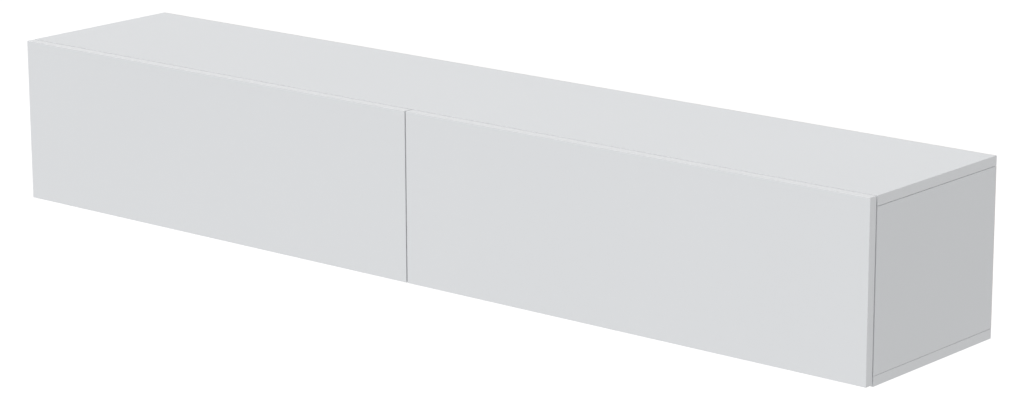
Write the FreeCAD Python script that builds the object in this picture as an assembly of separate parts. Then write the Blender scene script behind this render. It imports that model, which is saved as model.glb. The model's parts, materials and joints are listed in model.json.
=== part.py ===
import FreeCAD
import Part

import math
import os

# Floating media console: a laminated-board cabinet hung on a steel wall rail, closed by two
# handleless doors that drop down on concealed hinges, held by friction stays and push latches.
# Millimetres, +Z up, X along the console, wall at Y = 0, doors facing -Y.
# The origin is the middle of the wall rail's screw line, on the wall.

# Overall size, from the wall to the door faces
WIDTH = 1800.0
HEIGHT = 290.0
DEPTH = 340.0

# Boards and their edging
BOARD = 16.0
DOOR_BOARD = 16.0
EDGING = 1.0
EDGE_ROUND = 0.6
EDGING_SEAM = 0.05
JOINT_LINE = 0.6
JOINT_LINE_DEPTH = 2.0

# Back panels in their grooves
BACK_BOARD = 3.0
BACK_RECESS = 18.0
BACK_SEAM = 1.0
GROOVE_DEPTH = 6.0
GROOVE_PLAY = 0.2
CABLE_WIDTH = 120.0
CABLE_HEIGHT = 60.0
CABLE_ROUND = 12.0
CABLE_RISE = 60.0

# Gaps around the doors
DOOR_GAP = 2.2
SPLIT_GAP = 2.2
END_REVEAL = 0.5
TOP_REVEAL = 0.1
BOTTOM_REVEAL = 3.0

# Wall rail and cabinet hangers
SCREW_LINE_DROP = 66.0
RAIL_METAL = 2.0
RAIL_STANDOFF = 5.0
RAIL_BELOW = 14.0
RAIL_ABOVE = 24.0
RAIL_JOGGLE = 8.0
RAIL_BEND = 2.0
RAIL_END_GAP = 2.0
RAIL_HOLE_RADIUS = 3.25
RAIL_HOLE_INSET = 132.0
RAIL_INNER_PITCH = 500.0
HANGER_WIDTH = 20.0
HANGER_DEPTH = 38.0
HANGER_HEIGHT = 50.0
HANGER_DROP = 5.0
HANGER_ROUND = 3.0
HANGER_SLOPE = 8.0
PEG_RADIUS = 5.0
PEG_LENGTH = 7.0
PEG_SPACING = 28.0
HOOK_METAL = 2.5
HOOK_BEND = 1.0
HOOK_WIDTH = 12.0
HOOK_NOSE = 8.5
HOOK_WALL_GAP = 1.2
HOOK_TAIL = 25.0
HOOK_WINDOW_PLAY = 4.0
ADJUSTER_RADIUS = 3.0
ADJUSTER_LENGTH = 8.0
ADJUSTER_SHOW = 0.8
ADJUSTER_SPACING = 20.0

# Concealed hinges
HINGES_PER_DOOR = 3
HINGE_INSET = 110.0
PIN_DEPTH = 9.0
PIN_RADIUS = 1.0
SWING_CLEARANCE = 0.3
KNUCKLE_RADIUS = 2.0
ARM_WIDTH = 8.0
ARM_METAL = 3.0
ARM_NECK = 2.5
ARM_BEND = 2.0
ARM_INNER_BEND = 1.0
ARM_REACH = 58.0
ARM_ROOM = 0.6
ARM_CHEEK = 1.5
ARM_CHEEK_RISE = 4.0
ARM_CHEEK_SLOPE = 12.0
ARM_SLOT_WIDTH = 4.0
ARM_SLOT_LENGTH = 14.0
ARM_SLOT_INSET = 8.0
CUP_RADIUS = 17.5
CUP_EDGE = 2.6
CUP_WALL = 0.7
CUP_LIP = 2.0
CUP_ROUND = 2.0
FLANGE_METAL = 1.0
FLANGE_LENGTH = 60.0
FLANGE_WIDTH = 18.0
FLANGE_RISE = 6.0
FLANGE_SCREW_SPACING = 48.0
FLANGE_EDGE = 2.5
PLATE_SETBACK = 10.0
PLATE_WIDTH = 14.0
PLATE_ROUND = 2.0
PLATE_WING = 50.0
PLATE_WING_DEPTH = 18.0
PLATE_WING_METAL = 2.5
PLATE_SCREW_LINE = 37.0
PLATE_SCREW_SPACING = 32.0

# Friction stays
STAY_REACH = 130.0
STAY_LEAN = 40.0
STAY_OPENING = 90.0
STAY_PIVOT_STANDOFF = 12.0
STAY_BASE_METAL = 3.0
STAY_BASE_LENGTH = 46.0
STAY_BASE_HEIGHT = 24.0
STAY_SCREW_SPACING = 32.0
STUD_RADIUS = 4.0
STUD_LENGTH = 5.5
SWIVEL_RADIUS = 11.0
SWIVEL_WIDTH = 18.0
SWIVEL_BEVEL = 0.8
ROD_RADIUS = 3.0
ROD_PLAY = 0.2
ROD_SHELF = 10.0
ROD_STOP_RADIUS = 5.5
ROD_STOP_LENGTH = 5.0
ROD_STOP_BEVEL = 1.0
EYE_RADIUS = 7.0
EYE_WIDTH = 7.0
EYE_PIN_RADIUS = 2.5
BRACKET_METAL = 2.5
BRACKET_EAR_RADIUS = 9.0
BRACKET_FOOT = 25.0
BRACKET_HEIGHT = 34.0
BRACKET_ROUND = 5.0
BRACKET_SCREW_SPACING = 18.0

# Push latches
LATCH_WIDTH = 18.0
LATCH_HEIGHT = 16.0
LATCH_LENGTH = 64.0
LATCH_SETBACK = 3.0
LATCH_ROUND = 2.0
LATCH_EAR_METAL = 3.0
LATCH_EAR_SPAN = 46.0
LATCH_EAR_DEPTH = 16.0
LATCH_EAR_ROUND = 4.0
LATCH_EAR_SETBACK = 12.0
LATCH_SCREW_SPACING = 34.0
PLUNGER_RADIUS = 3.5
PLUNGER_TRAVEL = 1.8
PLUNGER_ENGAGED = 46.0
PLUNGER_TIP_GAP = 0.3
PLUNGER_TIP_CHAMFER = 0.8
STRIKE_METAL = 1.5
STRIKE_WIDTH = 30.0
STRIKE_HEIGHT = 14.0
STRIKE_SCREW_SPACING = 20.0

# Board joints: cam locks with their bolts, and dowels
JOINT_FRONT_INSET = 50.0
JOINT_BACK_INSET = 50.0
DOWEL_OFFSET = 32.0
DOWEL_RADIUS = 4.0
DOWEL_LENGTH = 30.0
DOWEL_IN_PANEL = 10.0
DOWEL_BEVEL = 1.0
CAM_RADIUS = 7.5
CAM_DEPTH = 12.4
CAM_SETBACK = 24.0
CAM_SLOT = 2.0
CAM_SLOT_DEPTH = 1.5
BOLT_RADIUS = 3.0
BOLT_HEAD = 3.0
BOLT_NECK = 4.0
BOLT_NECK_RADIUS = 1.8
BOLT_THREAD_RADIUS = 2.5
BOLT_IN_PANEL = 11.0

# Screws
SCREW_RADIUS = 1.6
SCREW_HEAD_RADIUS = 3.5
SCREW_HEAD = 2.0
SCREW_HEAD_BEVEL = 1.0
SHORT_SCREW = 10.0
LONG_SCREW = 15.0
BACK_SCREWS = 4
BACK_SCREW_INSET = 30.0

# Clearances that pieces share
RUNNING_PLAY = 0.05
SEAT_PLAY = 0.1
SIDE_PLAY = 0.4

# Heights and depths worked out from the sizes above
TOP_Z = SCREW_LINE_DROP
BASE_Z = TOP_Z - HEIGHT
FLOOR_Z = BASE_Z + BOARD
CEILING_Z = TOP_Z - BOARD
DOOR_FACE_Y = -DEPTH
DOOR_BACK_Y = DOOR_FACE_Y + DOOR_BOARD
FRONT_Y = DOOR_BACK_Y + DOOR_GAP
BACK_REAR_Y = -BACK_RECESS
BACK_FRONT_Y = BACK_REAR_Y - BACK_BOARD
INNER_X = WIDTH / 2 - BOARD
DIVIDER_X = BOARD / 2
MIDDLE_X = (INNER_X + DIVIDER_X) / 2
DOOR_LOW_Z = BASE_Z + BOTTOM_REVEAL
DOOR_HIGH_Z = TOP_Z - TOP_REVEAL
RAIL_HALF = INNER_X - RAIL_END_GAP
RAIL_OUTER_PITCH = 2 * (RAIL_HALF - RAIL_HOLE_INSET)

# The hinge axis lies as high as lets the door's lower inner edge swing clear of the carcass
PIN_RISE = math.sqrt((PIN_DEPTH + DOOR_GAP - SWING_CLEARANCE) ** 2 - PIN_DEPTH ** 2)
AXIS_Y = DOOR_BACK_Y - PIN_DEPTH
AXIS_Z = DOOR_LOW_Z + PIN_RISE
CUP_RISE = CUP_EDGE + CUP_RADIUS
CUP_DEPTH = PIN_DEPTH + KNUCKLE_RADIUS + ARM_ROOM + CUP_WALL
ARM_UNDER_Z = AXIS_Z + PIN_DEPTH + FLANGE_METAL + ARM_ROOM

# Both stay pivots lie on one circle about the hinge axis, so the rod turns half as far as the door
ROD_PIVOT_Y = AXIS_Y + PIN_DEPTH + STAY_PIVOT_STANDOFF
ROD_PIVOT_Z = AXIS_Z + math.sqrt(STAY_REACH ** 2 - (PIN_DEPTH + STAY_PIVOT_STANDOFF) ** 2)
SWIVEL_Y = AXIS_Y + STAY_REACH * math.sin(math.radians(STAY_LEAN))
SWIVEL_Z = AXIS_Z + STAY_REACH * math.cos(math.radians(STAY_LEAN))
PIVOT_LEAN = math.degrees(math.asin((PIN_DEPTH + STAY_PIVOT_STANDOFF) / STAY_REACH))
ROD_OPEN = 2 * STAY_REACH * math.sin(math.radians((STAY_LEAN - PIVOT_LEAN + STAY_OPENING) / 2))

X_AXIS = FreeCAD.Vector(1, 0, 0)
Y_AXIS = FreeCAD.Vector(0, 1, 0)
Z_AXIS = FreeCAD.Vector(0, 0, 1)
AXES = "xyz"
PAIR = (-0.5, 0.5)
SIDE_NAMES = {-1: "left", 1: "right"}
HINGE_NAMES = ("inner", "middle", "outer")

nodes = {}
cutters = {}


def add(node, *solids):
    """Put solids into a node."""
    nodes.setdefault(node, []).extend(solids)


def cut_from(node, *tools):
    """Keep holes and grooves to be cut from a node once every piece is placed."""
    cutters.setdefault(node, []).extend(tools)


def point(x, y, z):
    return FreeCAD.Vector(x, y, z)


def block(low, high):
    """Box between two corners, given in any order."""
    lows = [min(a, b) for a, b in zip(low, high)]
    sizes = [abs(b - a) for a, b in zip(low, high)]
    return Part.makeBox(*sizes, FreeCAD.Vector(*lows))


def rounded_block(low, high, axis, radius):
    """Box with its four edges along one axis rounded."""
    box = block(low, high)
    index = AXES.index(axis)
    edges = [e for e in box.Edges if abs(e.tangentAt(e.FirstParameter)[index]) > 0.5]
    return box.makeFillet(radius, edges)


def cylinder(start, direction, radius, length):
    return Part.makeCylinder(radius, length, start, direction)


def bevelled_rod(start, direction, radius, length, bevel):
    """Cylinder with both ends chamfered."""
    rod = cylinder(start, direction, radius, length)
    return rod.makeChamfer(bevel, [e for e in rod.Edges if e.Closed])


def drawn_cup(start, direction, radius, length, rounding):
    """Cylinder with its far edge rounded."""
    cup = cylinder(start, direction, radius, length)
    end = start + direction * length
    rim = [e for e in cup.Edges if e.Closed and (e.CenterOfMass - end).Length < RUNNING_PLAY]
    return cup.makeFillet(rounding, rim)


def turned(base, axis, outline):
    """Solid turned about an axis square to X, from (distance, radius) points ending on the axis."""
    corners = [base + axis * along + X_AXIS * radius for along, radius in outline]
    face = Part.Face(Part.makePolygon(corners + corners[:1]))
    return face.revolve(base, axis, 360)


def profile_along_x(outline, low_x, high_x):
    """Closed (y, z) outline extruded along X."""
    corners = [point(low_x, y, z) for y, z in outline]
    face = Part.Face(Part.makePolygon(corners + corners[:1]))
    return face.extrude(X_AXIS * (high_x - low_x))


def bent(bar, radius, *corners):
    """Bar along X with its edges at the given (y, z) corners rounded."""
    edges = [
        e for e in bar.Edges
        if any(math.hypot(e.CenterOfMass.y - y, e.CenterOfMass.z - z) < RUNNING_PLAY for y, z in corners)
    ]
    return bar.makeFillet(radius, edges)


def screw(seat, direction, length):
    """Pan-head screw with its head on the seat and its shank along the direction."""
    head = cylinder(seat - direction * SCREW_HEAD, direction, SCREW_HEAD_RADIUS, SCREW_HEAD)
    rim = [e for e in head.Edges if (e.CenterOfMass - seat).Length > SCREW_HEAD / 2 and e.Closed]
    head = head.makeChamfer(SCREW_HEAD_BEVEL, rim)
    return head.fuse(cylinder(seat, direction, SCREW_RADIUS, length)).removeSplitter()


def screw_hole(seat, direction, length):
    """Hole that a screw's shank sits in, through metal and board alike."""
    return cylinder(seat, direction, SCREW_RADIUS + SEAT_PLAY, length + SEAT_PLAY)


def banded_board(low, high, thin, banded):
    """Board core and the edging strips on its banded sides, each side an (axis, sign) pair."""
    outer = block(low, high)
    sides = [(AXES.index(axis), sign) for axis, sign in banded]
    faces = sides + [(AXES.index(thin), -1), (AXES.index(thin), 1)]

    def on_sides(edge):
        centre = edge.CenterOfMass
        return [
            (index, sign)
            for index in range(3)
            for sign, corner in ((-1, low), (1, high))
            if abs(centre[index] - corner[index]) < RUNNING_PLAY
        ]

    rounded = [
        edge for edge in outer.Edges
        if any(s in sides for s in on_sides(edge)) and all(s in faces for s in on_sides(edge))
    ]
    outer = outer.makeFillet(min(EDGE_ROUND, EDGING), rounded)
    core_low = [low[i] + EDGING * ((i, -1) in sides) for i in range(3)]
    core_high = [high[i] - EDGING * ((i, 1) in sides) for i in range(3)]
    strips = []
    free_low, free_high = list(low), list(high)
    for index, sign in sides:
        strip_low, strip_high = list(free_low), list(free_high)
        if sign < 0:
            strip_high[index] = core_low[index]
            free_low[index] = core_low[index] + EDGING_SEAM
        else:
            strip_low[index] = core_high[index]
            free_high[index] = core_high[index] - EDGING_SEAM
        strips.append(outer.common(block(strip_low, strip_high)))
    return block(core_low, core_high), strips


def carcass_boards():
    """Top, bottom, sides and divider, with edging where it shows and a fine line at each end joint."""
    half = WIDTH / 2
    long_sides = [("y", -1), ("x", -1), ("x", 1)]
    for name, low_z in (("top_panel", CEILING_Z), ("bottom_panel", BASE_Z)):
        core, strips = banded_board((-half, FRONT_Y, low_z), (half, 0, low_z + BOARD), "z", long_sides)
        add(name, core)
        add(name + "_edging", *strips)
    for sign, side in SIDE_NAMES.items():
        low_x = min(sign * half, sign * INNER_X)
        low, high = (low_x, FRONT_Y, FLOOR_Z), (low_x + BOARD, 0, CEILING_Z)
        core, strips = banded_board(low, high, "x", [("y", -1)])
        add(side + "_side_panel", core)
        add(side + "_side_edging", *strips)
        for seam_z, into in ((FLOOR_Z, 1), (CEILING_Z, -1)):
            line_end = (sign * (half - JOINT_LINE_DEPTH), 0, seam_z + into * JOINT_LINE)
            cut_from(side + "_side_panel", block((sign * half, FRONT_Y, seam_z), line_end))
    low, high = (-DIVIDER_X, FRONT_Y, FLOOR_Z), (DIVIDER_X, BACK_FRONT_Y, CEILING_Z)
    core, strips = banded_board(low, high, "x", [("y", -1)])
    add("centre_divider", core)
    add("divider_edging", *strips)


def back_panels():
    """Thin backs in grooves, meeting behind the divider, with a cable opening each."""
    reach = GROOVE_DEPTH - BACK_SEAM / 2
    groove_y = (BACK_FRONT_Y - GROOVE_PLAY, BACK_REAR_Y + GROOVE_PLAY)
    for sign, side in SIDE_NAMES.items():
        panel = block(
            (sign * BACK_SEAM / 2, BACK_FRONT_Y, FLOOR_Z - reach),
            (sign * (INNER_X + reach), BACK_REAR_Y, CEILING_Z + reach),
        )
        add(side + "_back_panel", panel)
        cable_low = FLOOR_Z + CABLE_RISE
        opening = rounded_block(
            (sign * MIDDLE_X - CABLE_WIDTH / 2, BACK_FRONT_Y - BACK_BOARD, cable_low),
            (sign * MIDDLE_X + CABLE_WIDTH / 2, BACK_REAR_Y + BACK_BOARD, cable_low + CABLE_HEIGHT),
            "y", CABLE_ROUND,
        )
        cut_from(side + "_back_panel", opening)
        groove = block(
            (sign * INNER_X, groove_y[0], FLOOR_Z), (sign * (INNER_X + GROOVE_DEPTH), groove_y[1], CEILING_Z)
        )
        cut_from(side + "_side_panel", groove)
        span = CEILING_Z - FLOOR_Z - 2 * BACK_SCREW_INSET
        for step in range(BACK_SCREWS):
            z = FLOOR_Z + BACK_SCREW_INSET + step * span / (BACK_SCREWS - 1)
            seat = point(sign * (DIVIDER_X + BACK_SEAM / 2) / 2, BACK_REAR_Y, z)
            add("back_panel_screws", screw(seat, -Y_AXIS, LONG_SCREW))
            hole = screw_hole(seat, -Y_AXIS, LONG_SCREW)
            cut_from(side + "_back_panel", hole)
            cut_from("centre_divider", hole)
    groove_x = INNER_X + GROOVE_DEPTH
    for node, z, end in (
        ("top_panel", CEILING_Z, CEILING_Z + GROOVE_DEPTH), ("bottom_panel", FLOOR_Z, FLOOR_Z - GROOVE_DEPTH)
    ):
        cut_from(node, block((-groove_x, groove_y[0], z), (groove_x, groove_y[1], end)))


def board_joints():
    """Cam locks, cam bolts and dowels where each upright meets the top and the bottom."""
    uprights = (
        ("left_side_panel", -INNER_X, -1), ("centre_divider", -DIVIDER_X, 1), ("right_side_panel", INNER_X, 1)
    )
    inset_y = (FRONT_Y + JOINT_FRONT_INSET, BACK_FRONT_Y - JOINT_BACK_INSET)
    for upright, face_x, into in uprights:
        middle_x = face_x + into * BOARD / 2
        for panel, seam_z, up in (("top_panel", CEILING_Z, 1), ("bottom_panel", FLOOR_Z, -1)):
            for y, towards in zip(inset_y, (1, -1)):
                cam_lock(upright, panel, point(face_x, y, seam_z), into, up)
                dowel_end = point(middle_x, y + towards * DOWEL_OFFSET, seam_z + up * DOWEL_IN_PANEL)
                dowel = bevelled_rod(dowel_end, Z_AXIS * -up, DOWEL_RADIUS, DOWEL_LENGTH, DOWEL_BEVEL)
                add("wood_dowels", dowel)
                hole_end = dowel_end + Z_AXIS * (up * SEAT_PLAY)
                hole = cylinder(
                    hole_end, Z_AXIS * -up, DOWEL_RADIUS + SEAT_PLAY, DOWEL_LENGTH + 2 * SEAT_PLAY
                )
                cut_from(upright, hole)
                cut_from(panel, hole)


def cam_lock(upright, panel, seam, into, up):
    """One cam in an upright's face, drawing in the bolt that is screwed into the panel."""
    inward = X_AXIS * into
    upward = Z_AXIS * up
    cam_start = seam - upward * CAM_SETBACK
    bolt_base = seam + inward * (BOARD / 2)
    bolt_end = bolt_base - upward * CAM_SETBACK
    tip = CAM_SETBACK + BOLT_IN_PANEL
    outline = [
        (0, 0), (0, BOLT_RADIUS), (BOLT_HEAD, BOLT_RADIUS), (BOLT_HEAD, BOLT_NECK_RADIUS),
        (BOLT_HEAD + BOLT_NECK, BOLT_NECK_RADIUS), (BOLT_HEAD + BOLT_NECK, BOLT_RADIUS),
        (CAM_SETBACK, BOLT_RADIUS), (CAM_SETBACK, BOLT_THREAD_RADIUS), (tip, BOLT_THREAD_RADIUS), (tip, 0),
    ]
    add("cam_bolts", turned(bolt_end, upward, outline))
    cam = cylinder(cam_start, inward, CAM_RADIUS, CAM_DEPTH)
    mouth_half = BOLT_RADIUS + SEAT_PLAY
    mouth = cylinder(bolt_end, upward, mouth_half, CAM_RADIUS + CAM_SLOT)
    throat = cylinder(bolt_end - upward * mouth_half, upward, mouth_half, mouth_half)
    slots = [
        block(
            cam_start - Y_AXIS * (long / 2) - Z_AXIS * (high / 2),
            cam_start + Y_AXIS * (long / 2) + Z_AXIS * (high / 2) + inward * CAM_SLOT_DEPTH,
        )
        for long, high in ((CAM_RADIUS, CAM_SLOT), (CAM_SLOT, CAM_RADIUS))
    ]
    add("cam_locks", cam.cut([mouth, throat] + slots))
    cut_from(
        upright,
        cylinder(cam_start, inward, CAM_RADIUS + SEAT_PLAY, CAM_DEPTH + SEAT_PLAY),
        cylinder(bolt_end, upward, mouth_half, CAM_SETBACK),
    )
    cut_from(
        panel, cylinder(bolt_base, upward, BOLT_THREAD_RADIUS + SEAT_PLAY, BOLT_IN_PANEL + SEAT_PLAY)
    )


def stations():
    """Name, side sign, upright, face position and inward sign of each upright face in a compartment."""
    for sign, side in SIDE_NAMES.items():
        yield side + "_outer", sign, side + "_side_panel", sign * INNER_X, -sign
        yield side + "_inner", sign, "centre_divider", sign * DIVIDER_X, sign


def wall_rail():
    """Joggled steel rail: its lower flange is screwed to the wall, hooks hang on its upper one."""
    outer_y = -RAIL_STANDOFF - RAIL_METAL
    joggle_end = RAIL_JOGGLE + RAIL_STANDOFF
    wall_bends = (0, RAIL_JOGGLE), (-RAIL_STANDOFF, joggle_end)
    room_bends = (outer_y, joggle_end - RAIL_METAL / 2), (-RAIL_METAL, RAIL_JOGGLE - RAIL_METAL / 2)
    outline = [
        (0, -RAIL_BELOW), *wall_bends, (-RAIL_STANDOFF, RAIL_ABOVE), (outer_y, RAIL_ABOVE), *room_bends,
        (-RAIL_METAL, -RAIL_BELOW),
    ]
    rail = profile_along_x(outline, -RAIL_HALF, RAIL_HALF)
    rail = bent(rail, RAIL_BEND, wall_bends[1], room_bends[1])
    rail = bent(rail, RAIL_BEND + RAIL_METAL, wall_bends[0], room_bends[0])
    for pitch in (RAIL_OUTER_PITCH, RAIL_INNER_PITCH):
        for sign in SIDE_NAMES:
            start = point(sign * pitch / 2, -2 * RAIL_METAL, 0)
            rail = rail.cut(cylinder(start, Y_AXIS, RAIL_HOLE_RADIUS, 3 * RAIL_METAL))
    add("wall_rail", rail)


def hangers():
    """Hanger bodies pegged to the uprights, with hooks reaching through the backs onto the rail."""
    front_y = BACK_FRONT_Y - SIDE_PLAY - HANGER_DEPTH
    rear_y = BACK_FRONT_Y - SIDE_PLAY
    high_z = CEILING_Z - HANGER_DROP
    low_z = high_z - HANGER_HEIGHT
    middle_z = (low_z + high_z) / 2
    hook_top = RAIL_ABOVE + HOOK_METAL
    nose_y = -HOOK_WALL_GAP - HOOK_METAL
    outline = [
        (rear_y - HOOK_TAIL, RAIL_ABOVE), (nose_y, RAIL_ABOVE), (nose_y, RAIL_ABOVE - HOOK_NOSE),
        (-HOOK_WALL_GAP, RAIL_ABOVE - HOOK_NOSE), (-HOOK_WALL_GAP, hook_top), (rear_y - HOOK_TAIL, hook_top),
    ]
    slope = [(front_y, low_z), (front_y, low_z + HANGER_SLOPE), (front_y + HANGER_SLOPE, low_z)]
    for name, sign, upright, face_x, inward in stations():
        middle_x = face_x + inward * HANGER_WIDTH / 2
        low_x, high_x = middle_x - HOOK_WIDTH / 2, middle_x + HOOK_WIDTH / 2
        hook = bent(profile_along_x(outline, low_x, high_x), HOOK_BEND, (nose_y, RAIL_ABOVE))
        add("hanger_hooks", bent(hook, HOOK_BEND + HOOK_METAL, (-HOOK_WALL_GAP, hook_top)))
        outer_x = face_x + inward * HANGER_WIDTH
        body = rounded_block((face_x, front_y, low_z), (outer_x, rear_y, high_z), "y", HANGER_ROUND)
        body = body.cut(profile_along_x(slope, face_x, outer_x))
        for step in PAIR:
            peg = point(face_x, (front_y + rear_y) / 2, middle_z + step * PEG_SPACING)
            body = body.fuse(cylinder(peg, X_AXIS * -inward, PEG_RADIUS, PEG_LENGTH))
            cut_from(
                upright, cylinder(peg, X_AXIS * -inward, PEG_RADIUS + SEAT_PLAY, PEG_LENGTH + SEAT_PLAY)
            )
        hook_slot = block(
            (low_x - SEAT_PLAY, rear_y - HOOK_TAIL - SEAT_PLAY, RAIL_ABOVE - SEAT_PLAY),
            (high_x + SEAT_PLAY, rear_y, hook_top + SEAT_PLAY),
        )
        body = body.cut(hook_slot)
        for step in PAIR:
            tip = point(middle_x, front_y - ADJUSTER_SHOW, middle_z + step * ADJUSTER_SPACING)
            add("hanger_adjusters", cylinder(tip, Y_AXIS, ADJUSTER_RADIUS, ADJUSTER_LENGTH))
            body = body.cut(cylinder(tip, Y_AXIS, ADJUSTER_RADIUS + SEAT_PLAY, ADJUSTER_LENGTH + SEAT_PLAY))
        add(name + "_hanger", body.removeSplitter())
        window = block(
            (low_x - HOOK_WINDOW_PLAY, BACK_FRONT_Y - BACK_BOARD, RAIL_ABOVE - HOOK_NOSE - HOOK_WINDOW_PLAY),
            (high_x + HOOK_WINDOW_PLAY, BACK_REAR_Y + BACK_BOARD, hook_top + HOOK_WINDOW_PLAY),
        )
        cut_from(SIDE_NAMES[sign] + "_back_panel", window)


def doors():
    """Two equal door panels with edging all round."""
    for sign, side in SIDE_NAMES.items():
        edge_x = (sign * SPLIT_GAP / 2, sign * (WIDTH / 2 - END_REVEAL))
        low = (min(edge_x), DOOR_FACE_Y, DOOR_LOW_Z)
        high = (max(edge_x), DOOR_BACK_Y, DOOR_HIGH_Z)
        core, strips = banded_board(low, high, "y", [("z", -1), ("z", 1), ("x", -1), ("x", 1)])
        add(side + "_door_panel", core)
        add(side + "_door_edging", *strips)


def hinges():
    """Concealed hinges: cup and pin in the door, arm and mounting plate on the bottom panel."""
    first, last = DIVIDER_X + HINGE_INSET, INNER_X - HINGE_INSET
    for sign, side in SIDE_NAMES.items():
        for step in range(HINGES_PER_DOOR):
            x = sign * (first + step * (last - first) / (HINGES_PER_DOOR - 1))
            hinge_cup(side, x)
            mounting_plate(x)
            add(side + "_" + HINGE_NAMES[step % len(HINGE_NAMES)] + "_hinge_arm", hinge_arm(x))


def hinge_cup(side, x):
    """Drawn steel cup with a screw flange, the hinge pin fixed across it, and its bore in the door."""
    mouth = point(x, DOOR_BACK_Y, DOOR_LOW_Z + CUP_RISE)
    outer = CUP_RADIUS - SEAT_PLAY
    inner = outer - CUP_WALL
    ears_z = mouth.z + FLANGE_RISE
    ears = rounded_block(
        (x - FLANGE_LENGTH / 2, DOOR_BACK_Y, ears_z - FLANGE_WIDTH / 2),
        (x + FLANGE_LENGTH / 2, DOOR_BACK_Y + FLANGE_METAL, ears_z + FLANGE_WIDTH / 2),
        "y", FLANGE_WIDTH / 2 - SEAT_PLAY,
    )
    flange = cylinder(mouth, Y_AXIS, CUP_RADIUS + CUP_LIP, FLANGE_METAL).fuse(ears)
    trimmed = block(
        (x - CUP_RADIUS, DOOR_BACK_Y, DOOR_LOW_Z - CUP_RADIUS),
        (x + CUP_RADIUS, DOOR_BACK_Y + FLANGE_METAL, DOOR_LOW_Z + FLANGE_EDGE),
    )
    cup = drawn_cup(mouth, -Y_AXIS, outer, CUP_DEPTH, CUP_ROUND).fuse(flange.cut(trimmed))
    bowl_depth = FLANGE_METAL + CUP_DEPTH - CUP_WALL
    bowl = drawn_cup(mouth + Y_AXIS * FLANGE_METAL, -Y_AXIS, inner, bowl_depth, CUP_ROUND - CUP_WALL)
    drop = CUP_RISE - PIN_RISE
    pin_half = math.sqrt(outer ** 2 - (drop + PIN_RADIUS) ** 2)
    pin_start = point(x - pin_half, AXIS_Y, AXIS_Z)
    pin_seat = cylinder(
        pin_start - X_AXIS * RUNNING_PLAY, X_AXIS, PIN_RADIUS + RUNNING_PLAY, 2 * (pin_half + RUNNING_PLAY)
    )
    holes = []
    for step in PAIR:
        seat = point(x + step * FLANGE_SCREW_SPACING, DOOR_BACK_Y + FLANGE_METAL, ears_z)
        add(side + "_door_screws", screw(seat, -Y_AXIS, SHORT_SCREW))
        holes.append(screw_hole(seat, -Y_AXIS, SHORT_SCREW))
    add(side + "_hinge_cups", cup.cut([bowl, pin_seat] + holes).removeSplitter())
    add(side + "_hinge_pins", cylinder(pin_start, X_AXIS, PIN_RADIUS, 2 * pin_half))
    cut_from(side + "_door_panel", cylinder(mouth, -Y_AXIS, CUP_RADIUS, CUP_DEPTH + SEAT_PLAY), *holes)


def hinge_arm(x):
    """Gooseneck arm: a knuckle on the pin, a neck out of the cup and a slotted, cheeked arm."""
    low_x, high_x = x - ARM_WIDTH / 2, x + ARM_WIDTH / 2
    front_y, end_y = FRONT_Y + PLATE_SETBACK, FRONT_Y + ARM_REACH
    top_z = ARM_UNDER_Z + ARM_METAL
    neck_y = (AXIS_Y - ARM_NECK / 2, AXIS_Y + ARM_NECK / 2)
    outline = [
        (neck_y[0], AXIS_Z), (neck_y[1], AXIS_Z), (neck_y[1], ARM_UNDER_Z),
        (end_y, ARM_UNDER_Z), (end_y, top_z), (neck_y[0], top_z),
    ]
    arm = bent(profile_along_x(outline, low_x, high_x), ARM_BEND, (neck_y[0], top_z))
    arm = bent(arm, ARM_INNER_BEND, (neck_y[1], ARM_UNDER_Z))
    knuckle = cylinder(point(low_x, AXIS_Y, AXIS_Z), X_AXIS, KNUCKLE_RADIUS, ARM_WIDTH)
    cheek_top = top_z + ARM_CHEEK_RISE
    cheek = [
        (front_y, ARM_UNDER_Z), (end_y, ARM_UNDER_Z), (end_y, cheek_top),
        (front_y + ARM_CHEEK_SLOPE, cheek_top), (front_y, top_z),
    ]
    cheeks = [
        profile_along_x(cheek, edge, edge + out)
        for edge, out in ((low_x, -ARM_CHEEK), (high_x, ARM_CHEEK))
    ]
    bore = cylinder(point(low_x, AXIS_Y, AXIS_Z), X_AXIS, PIN_RADIUS + RUNNING_PLAY, ARM_WIDTH)
    slot_end = end_y - ARM_SLOT_INSET
    slot = rounded_block(
        (x - ARM_SLOT_WIDTH / 2, slot_end - ARM_SLOT_LENGTH, ARM_UNDER_Z),
        (x + ARM_SLOT_WIDTH / 2, slot_end, top_z),
        "z", ARM_SLOT_WIDTH / 2 - SEAT_PLAY,
    )
    return arm.fuse([knuckle] + cheeks).cut([bore, slot]).removeSplitter()


def mounting_plate(x):
    """Cross-shaped plate on the bottom panel: a spine under a hinge arm and two screwed wings."""
    line_y = FRONT_Y + PLATE_SCREW_LINE
    wing_z = FLOOR_Z + PLATE_WING_METAL
    spine = rounded_block(
        (x - PLATE_WIDTH / 2, FRONT_Y + PLATE_SETBACK, FLOOR_Z),
        (x + PLATE_WIDTH / 2, FRONT_Y + ARM_REACH, ARM_UNDER_Z),
        "z", PLATE_ROUND,
    )
    wings = rounded_block(
        (x - PLATE_WING / 2, line_y - PLATE_WING_DEPTH / 2, FLOOR_Z),
        (x + PLATE_WING / 2, line_y + PLATE_WING_DEPTH / 2, wing_z),
        "z", PLATE_WING_DEPTH / 2 - SEAT_PLAY,
    )
    holes = []
    for step in PAIR:
        seat = point(x + step * PLATE_SCREW_SPACING, line_y, wing_z)
        add("carcass_screws", screw(seat, -Z_AXIS, LONG_SCREW))
        holes.append(screw_hole(seat, -Z_AXIS, LONG_SCREW))
    add("hinge_plates", spine.fuse(wings).cut(holes).removeSplitter())
    cut_from("bottom_panel", *holes)


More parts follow.
